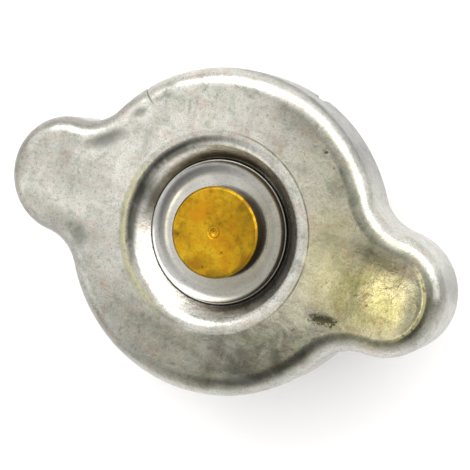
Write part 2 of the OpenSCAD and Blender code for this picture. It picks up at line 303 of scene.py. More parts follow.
def build_shell():
    kinds = station_kinds()
    flat_outer = loop_points(SHOULDER)
    n = len(flat_outer)
    ang = np.arctan2(flat_outer[:, 1], flat_outer[:, 0])
    ring_dir = np.stack([np.cos(ang), np.sin(ang)], 1)
    zb, zs = SKIRT_Z, SKIRT_Z + SLIT_H
    rows = []                                   # (x, y, z) rows shared by the whole loop

    def row(xy, z):
        return np.concatenate([xy, np.full((n, 1), z)], 1)

    # outside, from the slit level upwards
    outer = [row(loop_points(0), z) for z in np.linspace(zs, TOP - SHOULDER, 11)[:-1]]
    for k in range(17):
        t = HALF_PI * k / 16
        outer.append(row(loop_points(SHOULDER * (1 - math.cos(t))), TOP - SHOULDER * (1 - math.sin(t))))
    inner_ring = ring_dir * HOLE_BLEND
    for k in range(1, 40):
        f = k / 40
        outer.append(row(flat_outer * (1 - f) + inner_ring * f, TOP))
    upper, lower = sink_section()
    for r, z in upper:
        outer.append(row(ring_dir * r, z))
    # inside, back down to the slit level
    inner = []
    for r, z in reversed(lower):
        inner.append(row(ring_dir * r, z))
    flat_in = loop_points(SHOULDER)
    for k in range(1, 14):
        f = 1 - k / 14
        inner.append(row(flat_in * (1 - f) + inner_ring * f, TOP - SHEET))
    ri = SHOULDER - SHEET
    for k in range(9):
        t = HALF_PI * (1 - k / 8)
        inner.append(row(loop_points(SHEET + ri * (1 - math.cos(t))), TOP - SHOULDER + ri * math.sin(t)))
    inner += [row(loop_points(SHEET), z) for z in np.linspace(TOP - SHOULDER, zs, 6)[1:]]
    rows = outer + inner
    verts = [tuple(p) for r in rows for p in r]
    faces = []
    for a in range(len(rows) - 1):
        for i in range(n):
            j = (i + 1) % n
            faces.append((a * n + i, a * n + j, (a + 1) * n + j, (a + 1) * n + i))

    # below the slit level: plain foot, tab, or open slit
    e = 0.14
    o0, o1 = loop_points(0), loop_points(SHEET)
    mid = (o0 + o1) / 2

    def foot(i):
        p, q = o0[i], o1[i]
        d = (q - p) / SHEET
        sec = [(p, zs), (p, zs - 1.1), (p, zs - 2.2), (p, zb + e)]
        sec += [(p + d * e * (1 - math.cos(t)), zb + e - e * math.sin(t)) for t in (0.5, 1.05, HALF_PI)]
        sec += [(q - d * e * (1 - math.cos(t)), zb + e - e * math.sin(t)) for t in (HALF_PI, 1.05, 0.5)]
        sec += [(q, zb + e), (q, zs - 2.2), (q, zs - 1.1), (q, zs)]
        return [(xy[0], xy[1], z) for xy, z in sec]

    def tab(i):
        c = ring_dir_full[i]
        r, t = 1.7, SHEET
        cx, cz = BODY_R - r, zb + r
        sec = [(BODY_R, zs), (BODY_R, zb + r + 0.9)]
        sec += arc(cx, cz, r, 0, -90, 9)
        sec += [(25.4, zb), (TAB_IN + e, zb), (TAB_IN + 0.03, zb + 0.05), (TAB_IN, zb + e), (TAB_IN, zb + t - e),
                (TAB_IN + 0.03, zb + t - 0.05), (TAB_IN + e, zb + t), (25.4, zb + t)]
        sec += arc(cx, cz, r - t, -90, 0, 6)
        sec += [(BODY_R - t, zb + r + 0.9), (BODY_R - t, zs)]
        return [(c[0] * a, c[1] * a, z) for a, z in sec]

    ring_dir_full = o0 / np.linalg.norm(o0, axis=1)[:, None]

    def section(kind, i):
        return foot(i) if kind == "foot" else tab(i)

    def cap_face(sec):
        base = len(verts)
        verts.extend(sec)
        m = len(sec)
        for a in range(m // 2 - 1):             # strip across the sheet, outside to inside
            faces.append((base + a, base + a + 1, base + m - 2 - a, base + m - 1 - a))

    for i in range(n):
        j = (i + 1) % n
        k = kinds[i]
        if k == "slit":
            base = len(verts)
            verts.extend([(o0[i][0], o0[i][1], zs), (o0[j][0], o0[j][1], zs), (o1[j][0], o1[j][1], zs), (o1[i][0], o1[i][1], zs)])
            faces.append((base, base + 1, base + 2, base + 3))
            continue
        a, b = section(k, i), section(k, j)
        base = len(verts)
        verts.extend(a)
        verts.extend(b)
        m = len(a)
        for q in range(m - 1):
            faces.append((base + q, base + m + q, base + m + q + 1, base + q + 1))
        if kinds[i - 1] == "slit":
            cap_face(a)
        if kinds[j] == "slit":
            cap_face(b)

    # dents and the slight waves of a worn pressing, on both faces of the sheet alike
    v = np.array(verts, float)
    x, y, z = v[:, 0], v[:, 1], v[:, 2]
    rr = np.hypot(x, y)
    high = ease(TOP - 4.0, TOP - 1.2, z)
    on_top = high * ease(16.2, 18.8, rr)
    wave = fbm(v, 0.085, 3, 3.1)
    down = 0.07 * wave + 0.018 * fbm(v, 0.36, 2, 7.7)
    ear_in = np.hypot(np.abs(x) - EAR_D, y)
    dish = np.clip(1 - (ear_in / 8.6) ** 2, 0, 1) ** 1.3
    down += np.where(x > 0, 0.20, 0.13) * dish
    down += 0.28 * bump(x, y, -24.0, 8.7, 36, 3.6, 1.3)
    down += 0.15 * bump(x, y, -23.8, -8.8, -60, 3.2, 1.9)
    down += 0.16 * bump(x, y, -19.05, 15.1, 35, 1.2, 0.8)
    down += 0.08 * bump(x, y, -15.8, 18.8, 36, 2.0, 0.5)
    down += 0.20 * bump(x, y, 23.0, -7.1, 8, 1.9, 0.6)
    down += 0.10 * bump(x, y, 14.9, 19.1, 20, 0.35, 0.35)
    down += 0.10 * bump(x, y, 12.5, -21.0, 18, 4.0, 1.2)
    down -= 0.07 * np.exp(-((ear_in - 7.4) / 0.36) ** 2) * ease(33.0, 35.6, x)   # fine ridge where the ear's flat ends
    v[:, 2] -= 0.07 * high + np.maximum(down, -0.07) * on_top
    # a nick across the rounded rim
    t = np.degrees(np.arctan2(y, x))
    nick = np.exp(-((t - 136.3 - (27.0 - rr) * 0.25) / 0.42) ** 2) * ease(23.6, 24.6, rr) * (1 - ease(28.5, 29.0, rr)) * ease(TOP - 5.5, TOP - 3.0, z)
    shrink = 1 - 0.16 * nick / np.maximum(rr, 1.0)
    v[:, 0] *= shrink
    v[:, 1] *= shrink
    v[:, 2] -= 0.12 * nick
    # the skirt is a little out of true towards its foot
    foot_w = ease(TOP - 4.0, SKIRT_Z, z) * ease(20, 26, rr)
    pull = (0.10 + 0.10 * fbm(v, 0.06, 2, 11.0)) * foot_w
    pull = np.maximum(pull, 0.0)
    s2 = 1 - pull / np.maximum(rr, 1.0)
    v[:, 0] *= s2
    v[:, 1] *= s2
    return finish_mesh("shell_pressing", v.tolist(), faces, 42.0)


# ---------------------------------------------------------------- node materials
def new_mat(name):
    m = bpy.data.materials.new(name)
    m.use_nodes = True
    nt = m.node_tree
    for n in list(nt.nodes):
        nt.nodes.remove(n)
    out = nt.nodes.new("ShaderNodeOutputMaterial")
    bsdf = nt.nodes.new("ShaderNodeBsdfPrincipled")
    nt.links.new(bsdf.outputs["BSDF"], out.inputs["Surface"])
    return m, nt, bsdf


class Net:
    """Short names for the nodes that the materials below use."""

    def __init__(self, nt):
        self.nt = nt
        self.coord = nt.nodes.new("ShaderNodeTexCoord").outputs["Object"]

    def link(self, a, b):
        self.nt.links.new(a, b)

    def _set(self, sock, v):
        if hasattr(v, "is_output"):
            self.link(v, sock)
        else:
            sock.default_value = v

    def scaled(self, sx, sy, sz, rot=(0, 0, 0), loc=(0, 0, 0), vec=None):
        n = self.nt.nodes.new("ShaderNodeMapping")
        n.inputs["Scale"].default_value = (sx, sy, sz)
        n.inputs["Rotation"].default_value = rot
        n.inputs["Location"].default_value = loc
        self.link(vec or self.coord, n.inputs["Vector"])
        return n.outputs["Vector"]

    def noise(self, scale, detail=4.0, rough=0.55, dist=0.0, vec=None):
        n = self.nt.nodes.new("ShaderNodeTexNoise")
        n.inputs["Scale"].default_value = scale
        n.inputs["Detail"].default_value = detail
        n.inputs["Roughness"].default_value = rough
        n.inputs["Distortion"].default_value = dist
        self.link(vec or self.coord, n.inputs["Vector"])
        return n.outputs["Fac"]

    def voronoi(self, scale, feature="F1", vec=None, rand=1.0):
        n = self.nt.nodes.new("ShaderNodeTexVoronoi")
        n.feature = feature
        n.inputs["Scale"].default_value = scale
        n.inputs["Randomness"].default_value = rand
        self.link(vec or self.coord, n.inputs["Vector"])
        return n.outputs["Distance"]

    def ramp(self, fac, stops, interp="LINEAR"):
        n = self.nt.nodes.new("ShaderNodeValToRGB")
        n.color_ramp.interpolation = interp
        el = n.color_ramp.elements
        while len(el) < len(stops):
            el.new(0.5)
        for e, (pos, col) in zip(el, stops):
            e.position = pos
            e.color = (col, col, col, 1) if isinstance(col, (int, float)) else (*col, 1)
        self.link(fac, n.inputs["Fac"])
        return n.outputs["Color"]

    def math(self, op, a, b=0.0, clamp=False):
        n = self.nt.nodes.new("ShaderNodeMath")
        n.operation = op
        n.use_clamp = clamp
        self._set(n.inputs[0], a)
        self._set(n.inputs[1], b)
        return n.outputs[0]

    def span(self, v, a, b, c=0.0, d=1.0, smooth=True):
        n = self.nt.nodes.new("ShaderNodeMapRange")
        n.interpolation_type = "SMOOTHSTEP" if smooth else "LINEAR"
        n.inputs["From Min"].default_value = a
        n.inputs["From Max"].default_value = b
        n.inputs["To Min"].default_value = c
        n.inputs["To Max"].default_value = d
        self.link(v, n.inputs["Value"])
        return n.outputs["Result"]

    def mix(self, fac, a, b, mode="MIX"):
        n = self.nt.nodes.new("ShaderNodeMix")
        n.data_type = "RGBA"
        n.blend_type = mode
        self._set(n.inputs[0], fac)
        for sock, v in ((n.inputs[6], a), (n.inputs[7], b)):
            if hasattr(v, "is_output"):
                self.link(v, sock)
            else:
                sock.default_value = (*v, 1)
        return n.outputs[2]

    def xyz(self):
        n = self.nt.nodes.new("ShaderNodeSeparateXYZ")
        self.link(self.coord, n.inputs[0])
        return n.outputs

    def near(self, x, y, rx, ry, soft=1.0, turn=0.0, warp=None):
        """1 inside an oval about (x, y), falling to 0 outside, in object space (millimetres)."""
        n = self.nt.nodes.new("ShaderNodeMapping")
        n.vector_type = "TEXTURE"
        n.inputs["Location"].default_value = (x * MM, y * MM, 0)
        n.inputs["Rotation"].default_value = (0, 0, math.radians(turn))
        n.inputs["Scale"].default_value = (rx * MM, ry * MM, 1e3)
        self.link(self.coord, n.inputs["Vector"])
        ln = self.nt.nodes.new("ShaderNodeVectorMath")
        ln.operation = "LENGTH"
        self.link(n.outputs["Vector"], ln.inputs[0])
        far = ln.outputs["Value"] if warp is None else self.math("ADD", ln.outputs["Value"], warp)
        return self.span(far, 1.0 + soft * 0.5, max(0.0, 1.0 - soft * 0.5), 0.0, 1.0)

    def radius(self):
        n = self.nt.nodes.new("ShaderNodeVectorMath")
        n.operation = "MULTIPLY"
        n.inputs[1].default_value = (1, 1, 0)
        self.link(self.coord, n.inputs[0])
        ln = self.nt.nodes.new("ShaderNodeVectorMath")
        ln.operation = "LENGTH"
        self.link(n.outputs["Vector"], ln.inputs[0])
        return ln.outputs["Value"]

    def bump(self, height, strength, dist, normal=None):
        n = self.nt.nodes.new("ShaderNodeBump")
        n.inputs["Strength"].default_value = strength
        n.inputs["Distance"].default_value = dist
        self.link(height, n.inputs["Height"])
        if normal is not None:
            self.link(normal, n.inputs["Normal"])
        return n.outputs["Normal"]


def mat_shell():
    m, nt, b = new_mat("worn_tin_plate")
    k = Net(nt)
    x, y, z = k.xyz()
    rad = k.radius()
    big = k.noise(62, 5, 0.60, 0.7)
    mid = k.noise(230, 5, 0.62, 0.5)
    tint = k.noise(310, 4, 0.6, 0.8, k.scaled(1, 1, 1, loc=(0.3, 0.1, 0.2)))
    fine = k.noise(1000, 4, 0.62, 0.3)
    grain = k.noise(3600, 3, 0.6)
    col = k.ramp(big, [(0.30, (0.325, 0.322, 0.298)), (0.46, (0.44, 0.436, 0.418)), (0.58, (0.50, 0.494, 0.478)), (0.74, (0.385, 0.376, 0.356))])
    col = k.mix(0.85, col, k.ramp(mid, [(0.30, (0.72, 0.73, 0.70)), (0.45, (1.0, 1.0, 1.0)), (0.58, (1.0, 0.99, 0.975)), (0.72, (0.78, 0.765, 0.73))]), "MULTIPLY")
    # pinkish and greenish cast of old plating
    col = k.mix(0.9, col, k.ramp(tint, [(0.34, (0.78, 0.83, 0.75)), (0.46, (1.0, 1.0, 1.0)), (0.55, (1.0, 0.985, 0.97)), (0.68, (0.96, 0.85, 0.81))]), "MULTIPLY")
    col = k.mix(0.8, col, k.ramp(fine, [(0.28, (0.58, 0.59, 0.57)), (0.45, (1.0, 1.0, 1.0)), (0.55, (1.02, 1.01, 1.0)), (0.72, (0.76, 0.745, 0.72))]), "MULTIPLY")
    col = k.mix(0.8, col, k.ramp(grain, [(0.33, (0.66, 0.67, 0.65)), (0.50, (1.0, 1.0, 1.0)), (0.68, (1.0, 1.0, 1.0))]), "MULTIPLY")
    # rubbed streaks of two directions
    rub1 = k.noise(210, 4, 0.62, 0.5, k.scaled(1, 0.20, 1, (0, 0, 0.9)))
    rub2 = k.noise(240, 4, 0.62, 0.5, k.scaled(0.22, 1, 1, (0, 0, 0.3), (0.2, 0.1, 0)))
    col = k.mix(0.8, col, k.ramp(rub1, [(0.30, (0.74, 0.745, 0.72)), (0.47, (1.0, 1.0, 1.0)), (0.56, (1.0, 1.0, 0.99)), (0.72, (0.84, 0.82, 0.80))]), "MULTIPLY")
    col = k.mix(0.8, col, k.ramp(rub2, [(0.30, (0.76, 0.755, 0.74)), (0.47, (1.0, 1.0, 1.0)), (0.70, (0.86, 0.87, 0.84))]), "MULTIPLY")
    col = k.mix(1.0, col, (1.0, 1.0, 0.985), "MULTIPLY")
    # yellowed film on the flat, towards one ear
    wob = k.math("MULTIPLY", k.math("SUBTRACT", big, 0.5), 0.034)
    side = k.span(k.math("ADD", k.math("ADD", x, k.math("MULTIPLY", y, -0.30)), wob), 0.004, 0.024)
    warm = k.near(29.0, -1.8, 10.0, 6.8, 1.4, 6.0, k.math("MULTIPLY", wob, 14.0))
    top = k.math("MULTIPLY", k.span(z, 0.0279, 0.0287), k.span(rad, 0.0171, 0.0174))
    film = k.math("MAXIMUM", k.math("MULTIPLY", side, 0.30), k.math("MULTIPLY", warm, k.span(mid, 0.26, 0.56, 0.60, 1.0)))
    warm2 = k.math("MULTIPLY", k.near(21.8, 1.6, 5.2, 9.5, 1.3, 12.0, k.math("MULTIPLY", wob, 14.0)), k.span(mid, 0.26, 0.56, 0.60, 1.0))
    film = k.math("MULTIPLY", k.math("MAXIMUM", film, k.math("MULTIPLY", warm2, 0.80)), top)
    col = k.mix(k.math("MULTIPLY", film, 0.95), col, (0.84, 0.80, 0.44), "MULTIPLY")
    # painted shade in oval zones: round the highlight on the right ear's flat, over the right ear's shoulder highlight,
    # and on darker places of the flat near the edges
    for x0, y0, rx, ry, soft, turn, tone in ((30.0, 5.0, 5.0, 2.2, 1.3, -18, (0.58, 0.57, 0.50)), (37.0, -1.2, 1.6, 4.4, 1.2, 8, (0.46, 0.46, 0.46)),
                                             (-27.6, -7.2, 6.0, 1.7, 1.4, -10, (0.66, 0.66, 0.62)), (9.4, 22.4, 5.0, 1.8, 1.4, -20, (0.72, 0.71, 0.69)),
                                             (39.3, 3.4, 1.5, 3.4, 1.4, 8, (0.50, 0.50, 0.49)), (-7.6, -19.5, 9.0, 2.4, 1.5, -22, (0.84, 0.83, 0.80)), (-25.2, 0.8, 4.5, 3.2, 1.6, 20, (0.78, 0.78, 0.77)), (-38.6, -0.6, 1.5, 5.2, 1.3, 4, (0.70, 0.70, 0.68))):
        zone = k.math("MULTIPLY", k.near(x0, y0, rx, ry, soft, turn, k.math("MULTIPLY", wob, 9.0)), k.span(mid, 0.28, 0.52, 0.72, 1.0))
        col = k.mix(zone, col, tone, "MULTIPLY")
    # painted light: the flat made lighter on the upper-left side, away from the film
    upper_left_light = k.near(-18.5, 9.5, 21.0, 11.0, 1.5, 38.0)
    col = k.mix(k.math("MULTIPLY", upper_left_light, top), col, (1.20, 1.20, 1.195), "MULTIPLY")
    # painted shade: a grey darkening in patches over the lower part of the flat
    lower_flat_shade = k.math("MULTIPLY", k.near(14.5, -16.5, 12.0, 6.5, 1.3, 35.0), k.span(k.math("ADD", mid, k.math("MULTIPLY", tint, 0.6)), 0.58, 0.92, 0.35, 1.0))
    col = k.mix(k.math("MULTIPLY", k.math("MULTIPLY", lower_flat_shade, top), 0.90), col, (0.35, 0.36, 0.355), "MULTIPLY")
    # painted shade: the flat darkened towards the lower edge and on the side of the film
    off = k.span(warm, 0.0, 0.8, 1.0, 0.0)
    right_side_shade = k.span(k.math("ADD", k.math("ADD", k.math("MULTIPLY", x, 0.85), k.math("MULTIPLY", y, 0.52)), wob), 0.009, 0.027)
    lower_edge_shade = k.span(k.math("ADD", k.math("SUBTRACT", k.math("MULTIPLY", x, 0.15), y), wob), 0.007, 0.024)
    dull = k.math("MULTIPLY", k.math("MULTIPLY", k.math("MAXIMUM", right_side_shade, lower_edge_shade), off), top)
    col = k.mix(dull, col, (0.70, 0.705, 0.67), "MULTIPLY")
    # a dark line where the top starts to turn down, on one side
    lip = k.span(k.math("ABSOLUTE", k.math("SUBTRACT", rad, 0.0172)), 0.00022, 0.00005)
    lip = k.math("MULTIPLY", lip, k.span(k.math("ADD", k.math("MULTIPLY", x, 0.906), k.math("MULTIPLY", y, 0.42)), 0.002, 0.012))
    lip = k.math("MULTIPLY", lip, k.span(mid, 0.30, 0.55, 0.35, 1.0))
    col = k.mix(k.math("MULTIPLY", lip, 0.85), col, (0.08, 0.08, 0.06))
    # painted shade: a dark band on the lower-left of the recess's rounded edge
    recess_edge_shade = k.math("MULTIPLY", k.span(k.math("ABSOLUTE", k.math("SUBTRACT", rad, 0.0168)), 0.0008, 0.0001), k.span(k.math("ADD", k.math("MULTIPLY", x, -0.743), k.math("MULTIPLY", y, -0.669)), 0.009, 0.014))
    recess_edge_shade = k.math("MULTIPLY", k.math("MULTIPLY", recess_edge_shade, k.span(z, 0.0268, 0.0276)), k.span(mid, 0.30, 0.55, 0.45, 1.0))
    col = k.mix(k.math("MULTIPLY", recess_edge_shade, 0.72), col, (0.17, 0.168, 0.14))
    # thin scratches that run every way
    sc1 = k.voronoi(300, "DISTANCE_TO_EDGE", k.scaled(1, 0.06, 1, (0, 0, 0.7)))
    sc2 = k.voronoi(260, "DISTANCE_TO_EDGE", k.scaled(0.05, 1, 1, (0, 0, 0.25)))
    sc3 = k.voronoi(280, "DISTANCE_TO_EDGE", k.scaled(0.06, 1, 1, (0, 0, -0.9)))
    thin = k.math("MINIMUM", k.math("MINIMUM", sc1, sc2), sc3)
    scr = k.math("MULTIPLY", k.span(thin, 0.015, 0.003), k.span(tint, 0.46, 0.60))
    col = k.mix(k.math("MULTIPLY", scr, 0.09), col, (0.62, 0.61, 0.59))
    # smudges and stains in the places that handling leaves them, and painted shade over the dents of the top
    stains_and_dent_shade = None
    for x0, y0, rx, ry, turn in ((-24.1, 8.6, 3.8, 1.1, 36), (-19.05, 15.1, 1.25, 0.75, 30), (-15.8, 18.8, 2.2, 0.5, 36),
                                 (12.7, -21.9, 3.4, 0.7, 14), (-0.8, 24.1, 0.9, 0.5, 0), (-21.6, -13.5, 0.5, 1.1, 58)):
        m1 = k.near(x0, y0, rx, ry, 1.4, turn)
        stains_and_dent_shade = m1 if stains_and_dent_shade is None else k.math("MAXIMUM", stains_and_dent_shade, m1)
    stains_and_dent_shade = k.math("MULTIPLY", stains_and_dent_shade, k.span(k.math("ADD", mid, k.math("MULTIPLY", fine, 0.6)), 0.58, 0.88))
    col = k.mix(k.math("MULTIPLY", stains_and_dent_shade, 0.70), col, (0.13, 0.13, 0.12))
    # dark haze in patches: smudges, and painted shade over a dent and at the right ear's outer end, where it dims the
    # highlight
    haze_and_shade = None
    for x0, y0, rx, ry, turn in ((-23.6, -9.0, 3.8, 1.5, -58), (27.0, 8.5, 4.2, 1.2, -8), (20.5, 5.0, 3.0, 2.0, 30), (-20.5, 10.5, 5.0, 1.2, 36), (21.0, -8.0, 4.0, 2.6, 20), (36.2, 0.8, 1.5, 4.6, 8), (23.0, 7.0, 4.5, 3.2, 30)):
        m1 = k.near(x0, y0, rx, ry, 1.7, turn)
        haze_and_shade = m1 if haze_and_shade is None else k.math("MAXIMUM", haze_and_shade, m1)
    haze_and_shade = k.math("MULTIPLY", haze_and_shade, k.span(k.math("ADD", mid, k.math("MULTIPLY", rub1, 0.8)), 0.72, 1.06))
    col = k.mix(k.math("MULTIPLY", haze_and_shade, 0.50), col, (0.16, 0.165, 0.155))
    torn = k.math("MULTIPLY", k.math("SUBTRACT", k.math("ADD", fine, grain), 1.0), 3.0)
    # painted highlight: a bright yellow glint along the ridge where the ear's flat ends
    tip = k.nt.nodes.new("ShaderNodeVectorMath")
    tip.operation = "DISTANCE"
    tip.inputs[1].default_value = (EAR_D * MM, 0, 0.0288)
    nt.links.new(k.coord, tip.inputs[0])
    ridge_glint = k.span(k.math("ABSOLUTE", k.math("SUBTRACT", tip.outputs["Value"], 0.0075)), 0.00044, 0.00012)
    ridge_glint = k.math("MULTIPLY", k.math("MULTIPLY", ridge_glint, k.span(x, 0.0340, 0.0362)), k.math("MULTIPLY", k.span(fine, 0.34, 0.52, 0.4, 1.0), k.span(z, 0.0275, 0.0283)))
    col = k.mix(k.math("MULTIPLY", ridge_glint, 0.7), col, (0.80, 0.73, 0.38))
    gouge = k.near(23.1, -7.1, 2.1, 0.80, 0.22, 8, torn)
    crease = k.near(-18.5, 18.2, 1.7, 0.15, 0.9, 146.5)
    gouge = k.math("MAXIMUM", gouge, k.math("MULTIPLY", crease, 0.75))
    pit = k.math("MAXIMUM", gouge, k.near(14.9, 19.1, 0.34, 0.22, 0.7, 30))
    spots = k.math("MULTIPLY", k.span(k.voronoi(330), 0.12, 0.05), k.span(k.noise(95, 3, 0.6), 0.58, 0.68))
    pit = k.math("MAXIMUM", pit, k.math("MULTIPLY", spots, 0.45))
    col = k.mix(k.math("MULTIPLY", pit, 0.92), col, (0.05, 0.046, 0.018))
    rust = k.near(17.0, 17.1, 0.20, 0.20, 0.9)
    for x0, y0, rx in ((18.15, -17.1, 0.26), (18.75, -10.5, 0.18)):
        rust = k.math("MAXIMUM", rust, k.near(x0, y0, rx, rx, 0.9))
    col = k.mix(k.math("MULTIPLY", rust, 0.75), col, (0.15, 0.075, 0.035))
    # painted highlight: an olive glint on the left side of the recess's rounded edge
    recess_glint = k.math("MULTIPLY", k.span(k.math("ABSOLUTE", k.math("SUBTRACT", rad, 0.0165)), 0.0010, 0.0002), k.span(k.math("ADD", x, k.math("MULTIPLY", y, 0.40)), -0.010, -0.0145))
    recess_glint = k.math("MULTIPLY", k.math("MULTIPLY", recess_glint, k.span(z, 0.0262, 0.0270)), k.span(fine, 0.36, 0.52, 0.35, 1.0))
    # painted shade: a dark band on the recess wall, on the left side
    line = k.math("MULTIPLY", k.span(k.math("ABSOLUTE", k.math("SUBTRACT", rad, 0.0152)), 0.0011, 0.0003), k.span(k.math("SUBTRACT", x, k.math("MULTIPLY", y, 0.35)), -0.0075, -0.0125))
    line = k.math("MULTIPLY", k.math("MULTIPLY", line, k.span(z, 0.0250, 0.0256)), k.span(k.math("ADD", mid, k.math("MULTIPLY", fine, 0.5)), 0.55, 0.80, 0.55, 1.0))
    col = k.mix(k.math("MULTIPLY", line, 0.92), col, (0.07, 0.069, 0.058))
    # painted shade: a darker patch inside the recess on the left, beside the washer
    inner = k.span(rad, 0.0156, 0.0152)
    col = k.mix(k.math("MULTIPLY", k.near(-14.0, 2.4, 1.7, 2.3, 1.5, 10.0), inner), col, (0.46, 0.46, 0.44), "MULTIPLY")
    # painted light: a lighter band on the upper side of the recess wall
    upper = k.math("MULTIPLY", k.span(k.math("ABSOLUTE", k.math("SUBTRACT", rad, 0.0146)), 0.0011, 0.0004), k.span(k.math("ADD", k.math("MULTIPLY", x, -0.292), k.math("MULTIPLY", y, 0.956)), 0.0080, 0.0125))
    col = k.mix(upper, col, (1.70, 1.70, 1.66), "MULTIPLY")
    # painted shade: brown-dark bands low on the wall, beside the washer
    foot = k.math("MULTIPLY", k.span(k.math("ABSOLUTE", k.math("SUBTRACT", rad, 0.0126)), 0.0013, 0.0006), k.span(k.math("ADD", k.math("MULTIPLY", x, -0.574), k.math("MULTIPLY", y, 0.819)), 0.0050, 0.0090))
    col = k.mix(k.math("MULTIPLY", foot, k.span(mid, 0.30, 0.56, 0.75, 1.0)), col, (0.46, 0.42, 0.32), "MULTIPLY")
    gap_shade_right = k.math("MULTIPLY", k.span(k.math("ABSOLUTE", k.math("SUBTRACT", rad, 0.0124)), 0.0014, 0.0007), k.span(k.math("ADD", k.math("MULTIPLY", x, 0.970), k.math("MULTIPLY", y, -0.242)), 0.0040, 0.0095))
    col = k.mix(k.math("MULTIPLY", gap_shade_right, k.span(mid, 0.30, 0.56, 0.80, 1.0)), col, (0.42, 0.41, 0.39), "MULTIPLY")
    # the painted olive glint on the recess's rounded edge
    col = k.mix(k.math("MULTIPLY", recess_glint, 0.72), col, (0.41, 0.395, 0.23))
    # painted shade: a greyer skirt on one side and a darker shoulder along the left edge; and a dark mark on the cut
    # beside the tab
    skirt_shade = k.math("MULTIPLY", k.span(z, 0.0280, 0.0260), k.span(k.math("ADD", k.math("MULTIPLY", x, 0.34), k.math("MULTIPLY", y, 0.94)), 0.0205, 0.0265))
    col = k.mix(k.math("MULTIPLY", skirt_shade, k.span(mid, 0.30, 0.56, 0.75, 1.0)), col, (0.33, 0.326, 0.332), "MULTIPLY")
    # painted shade along the left shoulder
    rim = k.math("MULTIPLY", k.span(z, 0.02868, 0.0279), k.span(k.math("ADD", k.math("MULTIPLY", x, -0.966), k.math("MULTIPLY", y, -0.259)), 0.010, 0.018))
    rim = k.math("MULTIPLY", rim, k.span(rad, 0.0185, 0.0195))
    col = k.mix(k.math("MULTIPLY", rim, k.span(mid, 0.30, 0.56, 0.75, 1.0)), col, (0.54, 0.54, 0.528), "MULTIPLY")
    cut = k.math("MULTIPLY", k.near(7.05, 27.1, 1.0, 0.30, 0.8, 75.0), k.span(z, 0.0222, 0.0208))
    col = k.mix(k.math("MULTIPLY", cut, 0.85), col, (0.05, 0.05, 0.05))
    col = k.mix(1.0, col, (1.03, 1.03, 1.03), "MULTIPLY")
    nt.links.new(col, b.inputs["Base Color"])
    oxide = k.math("MULTIPLY", k.span(z, 0.0285, 0.0279), k.span(rad, 0.0185, 0.0195))
    metal = k.math("SUBTRACT", 0.96, k.math("MULTIPLY", oxide, 0.22))
    metal = k.math("SUBTRACT", metal, k.math("MULTIPLY", k.math("MAXIMUM", recess_glint, ridge_glint), 0.28))
    metal = k.math("SUBTRACT", metal, k.math("MULTIPLY", k.span(k.math("ABSOLUTE", k.math("SUBTRACT", rad, 0.0150)), 0.0016, 0.0007), 0.07))
    nt.links.new(metal, b.inputs["Metallic"])
    dirt = k.math("MAXIMUM", k.math("MULTIPLY", stains_and_dent_shade, 0.7), pit)
    rough = k.span(mid, 0.30, 0.72, 0.22, 0.32, False)
    rough = k.math("ADD", rough, k.math("MULTIPLY", k.math("SUBTRACT", fine, 0.5), 0.12))
    rough = k.math("MULTIPLY", rough, k.span(rad, 0.0156, 0.0166, 0.85, 1.0))
    rough = k.math("MULTIPLY", rough, k.span(k.near(33.0, 0.2, 6.0, 4.2, 1.5, -20.0), 0.0, 1.0, 1.0, 0.62))
    rough = k.math("ADD", rough, k.math("MULTIPLY", dirt, 0.28), True)
    nt.links.new(rough, b.inputs["Roughness"])
    n1 = k.bump(mid, 0.30, 0.00022)
    n2 = k.bump(fine, 0.30, 0.00007, n1)
    n3 = k.bump(k.math("SUBTRACT", grain, k.math("MULTIPLY", scr, 0.8)), 0.25, 0.00002, n2)
    nt.links.new(n3, b.inputs["Normal"])
    return m


def mat_plated(name, tint=(0.70, 0.70, 0.69), rough=(0.26, 0.38), rings=True, stain=0.5, lean=0.0):
    m, nt, b = new_mat(name)
    k = Net(nt)
    rad = k.radius()
    soft = k.noise(130, 4, 0.6, 0.5)
    fine = k.noise(1100, 3, 0.6)
    ringv = k.scaled(1, 1, 1)
    comb = nt.nodes.new("ShaderNodeCombineXYZ")
    nt.links.new(rad, comb.inputs[0])
    nt.links.new(k.math("MULTIPLY", k.xyz()[2], 1.0), comb.inputs[1])
    ring = k.noise(5200, 3, 0.65, 0.0, comb.outputs[0])
    dark = tuple(c * 0.74 for c in tint)
    col = k.mix(k.span(soft, 0.38, 0.68), tint, dark)
    col = k.mix(k.math("MULTIPLY", k.span(ring, 0.40, 0.66), 0.22), col, tuple(c * 0.6 for c in tint))
    spot = k.math("MULTIPLY", k.span(k.voronoi(520), 0.14, 0.04), k.span(soft, 0.54, 0.66))
    col = k.mix(k.math("MULTIPLY", spot, stain), col, (0.16, 0.13, 0.09))
    if lean:
        # painted shade deepening towards one side and painted light on the other, with a brownish cast on the darker
        # side; and a fine matt grain
        px, py, _ = k.xyz()
        across = k.math("ADD", k.math("MULTIPLY", px, -0.986), k.math("MULTIPLY", py, 0.166))
        col = k.mix(1.0, col, k.span(k.math("ADD", across, k.math("MULTIPLY", k.math("SUBTRACT", soft, 0.5), 0.006)), -0.011, 0.011, 1.0 - lean, 1.0 + lean, False), "MULTIPLY")
        col = k.mix(k.span(across, 0.004, -0.009), col, (1.0, 0.965, 0.87), "MULTIPLY")
        col = k.mix(0.8, col, k.ramp(k.noise(2300, 4, 0.65), [(0.30, (0.70, 0.70, 0.68)), (0.50, (1.0, 1.0, 1.0)), (0.70, (0.90, 0.89, 0.87))]), "MULTIPLY")
    nt.links.new(col, b.inputs["Base Color"])
    b.inputs["Metallic"].default_value = 0.95
    nt.links.new(k.span(soft, 0.3, 0.7, rough[0], rough[1], False), b.inputs["Roughness"])
    h = k.math("ADD", k.math("MULTIPLY", ring, 0.6 if rings else 0.1), k.math("MULTIPLY", fine, 0.6))
    n1 = k.bump(h, 0.25, 0.00003)
    nt.links.new(n1, b.inputs["Normal"])
    return m


